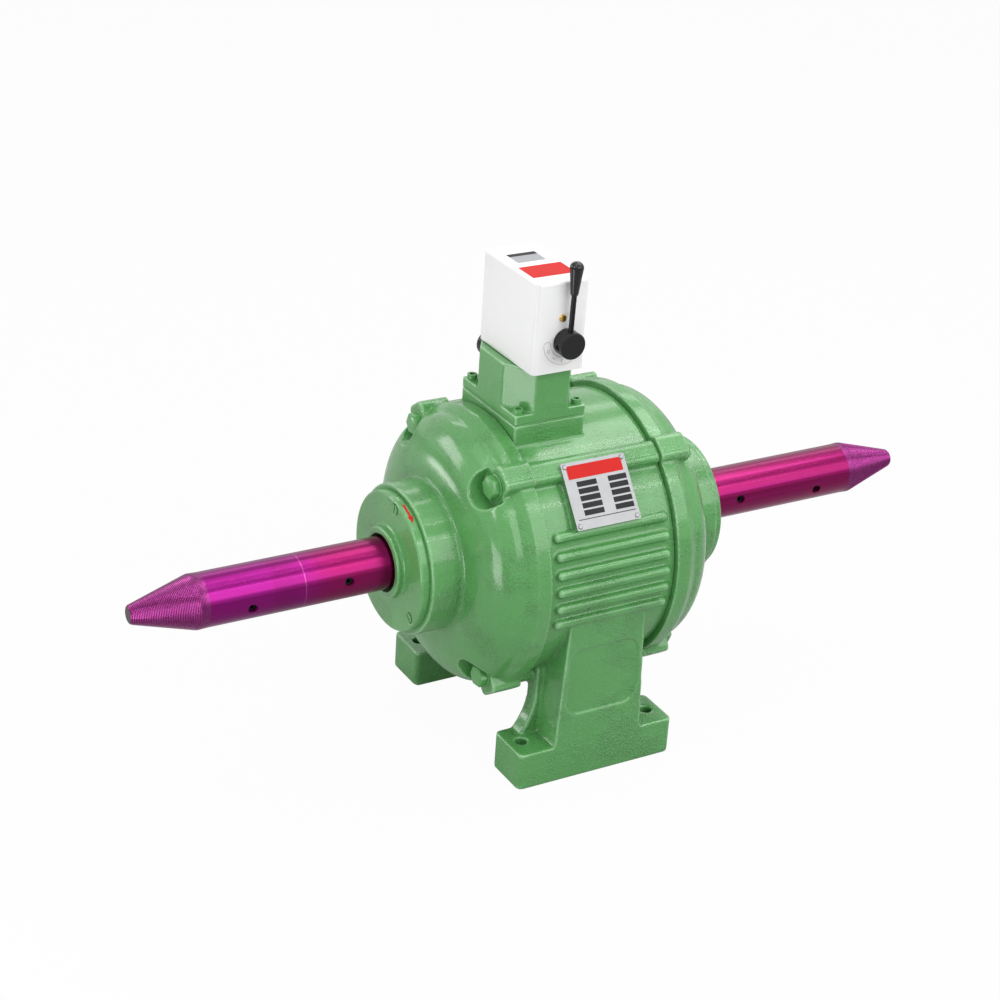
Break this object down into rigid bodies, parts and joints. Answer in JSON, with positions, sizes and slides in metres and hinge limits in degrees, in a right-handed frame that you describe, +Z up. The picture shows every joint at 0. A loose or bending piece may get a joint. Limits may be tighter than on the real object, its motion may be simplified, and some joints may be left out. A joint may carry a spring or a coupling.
{
  "type": "bench polishing motor",
  "caption": "Double-ended bench polishing motor with tapered spindles, ribbed cast frame on cast feet, domed end shields and a lever switch box on a tower.",
  "frame": {"origin": "centre of the footprint on the bench surface, under the middle of the shaft", "axes": "+X along the shaft to the right-hand spindle, -Y to the front with the nameplate and lever, +Z up"},
  "size_m": [0.83, 0.2684, 0.493],
  "materials": {
    "enamel": "glossy enamel over a rough casting",
    "spindle_finish": "polished with a tinted plating",
    "switch_white": "smooth white powder coat",
    "black_plastic": "polished black",
    "black_steel": "black oxide",
    "steel": "ground",
    "zinc": "zinc plated",
    "lamination": "stacked sheet",
    "winding": "varnished copper wire",
    "cast_aluminium": "as cast",
    "plate_metal": "printed sheet",
    "seal_rubber": "moulded",
    "bakelite": "moulded",
    "brass": "turned",
    "copper": "plated"
  },
  "bodies": {
    "housing": {"motor_frame": "enamel", "left_end_shield": "enamel", "right_end_shield": "enamel", "left_bearing_cover": "enamel", "right_bearing_cover": "enamel", "left_shaft_seal": "seal_rubber", "right_shaft_seal": "seal_rubber", "left_outer_race": "steel", "right_outer_race": "steel", "left_shield_bolts": "enamel", "right_shield_bolts": "enamel", "left_cover_screws": "zinc", "right_cover_screws": "zinc", "preload_washer": "steel", "stator_core": "lamination", "stator_windings": "winding", "nameplate": "plate_metal", "nameplate_rivets": "plate_metal", "tower_gasket": "seal_rubber", "switch_tower": "enamel", "tower_screws": "enamel", "terminal_block": "bakelite", "cable_gland": "black_plastic", "gland_nut": "black_plastic", "switch_base": "zinc", "switch_frame": "bakelite", "switch_cover": "switch_white", "cover_screw": "brass"},
    "rotor": {"shaft": "steel", "rotor_core": "lamination", "rotor_end_rings": "cast_aluminium", "left_inner_race": "steel", "right_inner_race": "steel", "left_circlip": "black_steel", "right_circlip": "black_steel", "left_spindle": "spindle_finish", "right_spindle": "spindle_finish", "left_grub_screws": "black_steel", "right_grub_screws": "black_steel"},
    "left_ball_set": {"left_balls": "steel", "left_cage": "brass"},
    "right_ball_set": {"right_balls": "steel", "right_cage": "brass"},
    "switch_lever": {"lever_hub": "black_plastic", "lever_rod": "black_steel", "lever_grip": "black_plastic", "hub_screw": "copper", "switch_shaft": "steel", "contact_drum": "bakelite"}
  },
  "joints": [
    {"name": "spindle_turn", "type": "hinge", "parent": "housing", "child": "rotor", "pos_m": [0, 0, 0.196], "axis": [1, 0, 0], "continuous": true},
    {"name": "left_cage_turn", "type": "hinge", "parent": "housing", "child": "left_ball_set", "pos_m": [-0.1325, 0, 0.196], "axis": [1, 0, 0], "continuous": true},
    {"name": "right_cage_turn", "type": "hinge", "parent": "housing", "child": "right_ball_set", "pos_m": [0.1325, 0, 0.196], "axis": [1, 0, 0], "continuous": true},
    {"name": "switch_lever_turn", "type": "hinge", "parent": "housing", "child": "switch_lever", "pos_m": [-0.027, -0.059, 0.416], "axis": [0, 1, 0], "range_deg": [-45, 45]}
  ],
  "couplings": [
    {"joint": "left_cage_turn", "follows": "spindle_turn", "ratio": 0.3826},
    {"joint": "right_cage_turn", "follows": "spindle_turn", "ratio": 0.3826}
  ]
}
